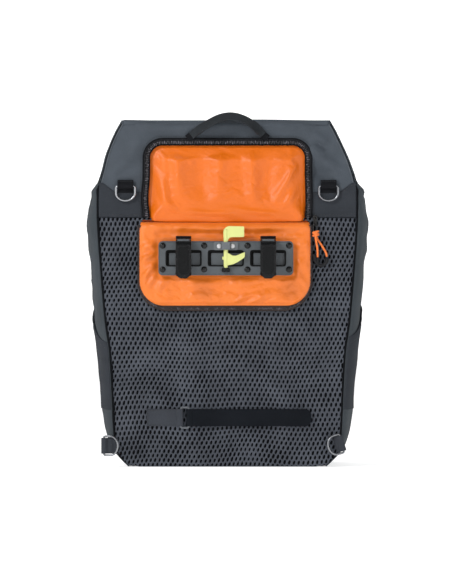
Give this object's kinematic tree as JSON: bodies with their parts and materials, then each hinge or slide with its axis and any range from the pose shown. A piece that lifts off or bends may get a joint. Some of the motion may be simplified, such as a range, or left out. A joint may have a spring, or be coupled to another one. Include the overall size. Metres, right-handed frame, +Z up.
{
  "type": "pannier bag",
  "caption": "Soft bicycle pannier that also carries as a backpack: mesh back pad, zip pocket with fold-down hook panel, D-rings, carry handle and fold-over lid.",
  "frame": {"origin": "middle of the base's underside", "axes": "+Z up, +X to the right when the rack side is faced, and the rack side with its hooks faces -Y"},
  "size_m": [0.342, 0.2019, 0.426],
  "materials": {
    "coated_fabric": "satin coated polyester",
    "woven_fabric": "matt plain weave",
    "air_mesh": "spacer mesh with open cells",
    "orange_lining": "smooth lining with a slight sheen",
    "webbing": "ribbed webbing",
    "hook_and_loop": "matt pile",
    "piping": "bound edge",
    "zip_tape": "knitted tape with coil teeth",
    "orange_cord": "braided",
    "board": "plain sheet",
    "grey_plastic": "fine texture",
    "black_plastic": "satin",
    "hook_plastic": "speckled grip face",
    "lime_plastic": "smooth",
    "rubber": "matt",
    "black_metal": "satin black",
    "black_screw": "satin black",
    "steel": "bright"
  },
  "bodies": {
    "bag": {"back_pad": "air_mesh", "back_board": "board", "upper_back_panel": "coated_fabric", "zip_frame": "zip_tape", "hinge_band": "woven_fabric", "pocket_lining": "orange_lining", "front_panel": "coated_fabric", "base_panel": "coated_fabric", "base_board": "board", "strap_anchor": "webbing", "strap_sewn_layer": "webbing", "front_closure_patch": "hook_and_loop", "left_corner_patch": "woven_fabric", "left_gusset": "coated_fabric", "left_side_pocket": "woven_fabric", "left_upper_ring_tab": "webbing", "left_lower_ring_tab": "webbing", "right_corner_patch": "woven_fabric", "right_gusset": "coated_fabric", "right_side_pocket": "woven_fabric", "right_upper_ring_tab": "webbing", "right_lower_ring_tab": "webbing"},
    "hook_panel": {"hook_panel_lining": "orange_lining", "hook_panel_board": "board", "hook_panel_cover": "coated_fabric", "hook_panel_piping": "piping", "hook_plate": "grey_plastic", "latch_bracket": "grey_plastic", "latch_screw_1": "steel", "latch_screw_2": "steel", "plate_screw_1": "black_screw", "plate_screw_2": "black_screw", "plate_screw_3": "black_screw", "plate_screw_4": "black_screw", "plate_screw_5": "black_screw", "plate_screw_6": "black_screw", "plate_screw_7": "black_screw", "plate_screw_8": "black_screw"},
    "latch_lever": {"latch_lever": "lime_plastic"},
    "left_hook": {"left_hook": "hook_plastic"},
    "right_hook": {"right_hook": "hook_plastic"},
    "left_upper_ring": {"left_upper_ring": "steel"},
    "right_upper_ring": {"right_upper_ring": "steel"},
    "left_lower_ring": {"left_lower_ring": "steel"},
    "right_lower_ring": {"right_lower_ring": "steel"},
    "strap_ring": {"strap_ring": "black_plastic"},
    "strap_free_end": {"strap_free_end": "hook_and_loop"},
    "carry_handle": {"carry_handle": "webbing"},
    "zip_slider": {"zip_slider": "black_metal"},
    "zip_pull": {"slider_pull": "black_metal", "pull_cord": "orange_cord", "pull_grip": "rubber"},
    "lid": {"lid": "coated_fabric", "lid_closure_patch": "hook_and_loop"}
  },
  "joints": [
    {"name": "lid_fold", "type": "hinge", "parent": "bag", "child": "lid", "pos_m": [0, -0.07, 0.4158], "axis": [1, 0, 0], "range_deg": [0, 105]},
    {"name": "hook_panel_fold", "type": "hinge", "parent": "bag", "child": "hook_panel", "pos_m": [0, -0.08, 0.29], "axis": [-1, 0, 0], "range_deg": [0, 180], "deforming": ["pocket_lining"]},
    {"name": "latch_turn", "type": "hinge", "parent": "hook_panel", "child": "latch_lever", "pos_m": [-0.002, -0.0956, 0.262], "axis": [0, 0, -1], "range_deg": [0, 90]},
    {"name": "left_hook_slide", "type": "slide", "parent": "hook_panel", "child": "left_hook", "axis": [1, 0, 0], "range_m": [-0.01, 0.01]},
    {"name": "right_hook_slide", "type": "slide", "parent": "hook_panel", "child": "right_hook", "axis": [1, 0, 0], "range_m": [-0.01, 0.01]},
    {"name": "left_upper_ring_swing", "type": "hinge", "parent": "bag", "child": "left_upper_ring", "pos_m": [-0.1224, -0.0781, 0.3368], "axis": [-1, 0, 0], "range_deg": [0, 165]},
    {"name": "right_upper_ring_swing", "type": "hinge", "parent": "bag", "child": "right_upper_ring", "pos_m": [0.1212, -0.0781, 0.3368], "axis": [-1, 0, 0], "range_deg": [0, 165]},
    {"name": "left_lower_ring_swing", "type": "hinge", "parent": "bag", "child": "left_lower_ring", "pos_m": [-0.1484, -0.0773, 0.0256], "axis": [0, 0, -1], "range_deg": [0, 160]},
    {"name": "right_lower_ring_swing", "type": "hinge", "parent": "bag", "child": "right_lower_ring", "pos_m": [0.137, -0.0786, 0.0287], "axis": [-0.2756, 0, 0.9613], "range_deg": [0, 160]},
    {"name": "strap_ring_swing", "type": "hinge", "parent": "bag", "child": "strap_ring", "pos_m": [-0.0559, -0.0784, 0.0594], "axis": [0, 0, -1], "range_deg": [0, 30]},
    {"name": "strap_peel", "type": "hinge", "parent": "strap_ring", "child": "strap_free_end", "pos_m": [-0.0465, -0.0784, 0.0594], "axis": [0, 0, -1], "range_deg": [0, 120]},
    {"name": "handle_lean", "type": "hinge", "parent": "bag", "child": "carry_handle", "pos_m": [0, -0.0776, 0.3975], "axis": [1, 0, 0], "range_deg": [0, 28]},
    {"name": "zip_slide", "type": "slide", "parent": "bag", "child": "zip_slider", "axis": [0, 0, 1], "range_m": [0, 0.04]},
    {"name": "pull_swing", "type": "hinge", "parent": "zip_slider", "child": "zip_pull", "pos_m": [0.1051, -0.0828, 0.291], "axis": [-1, 0, 0], "range_deg": [0, 150]}
  ]
}
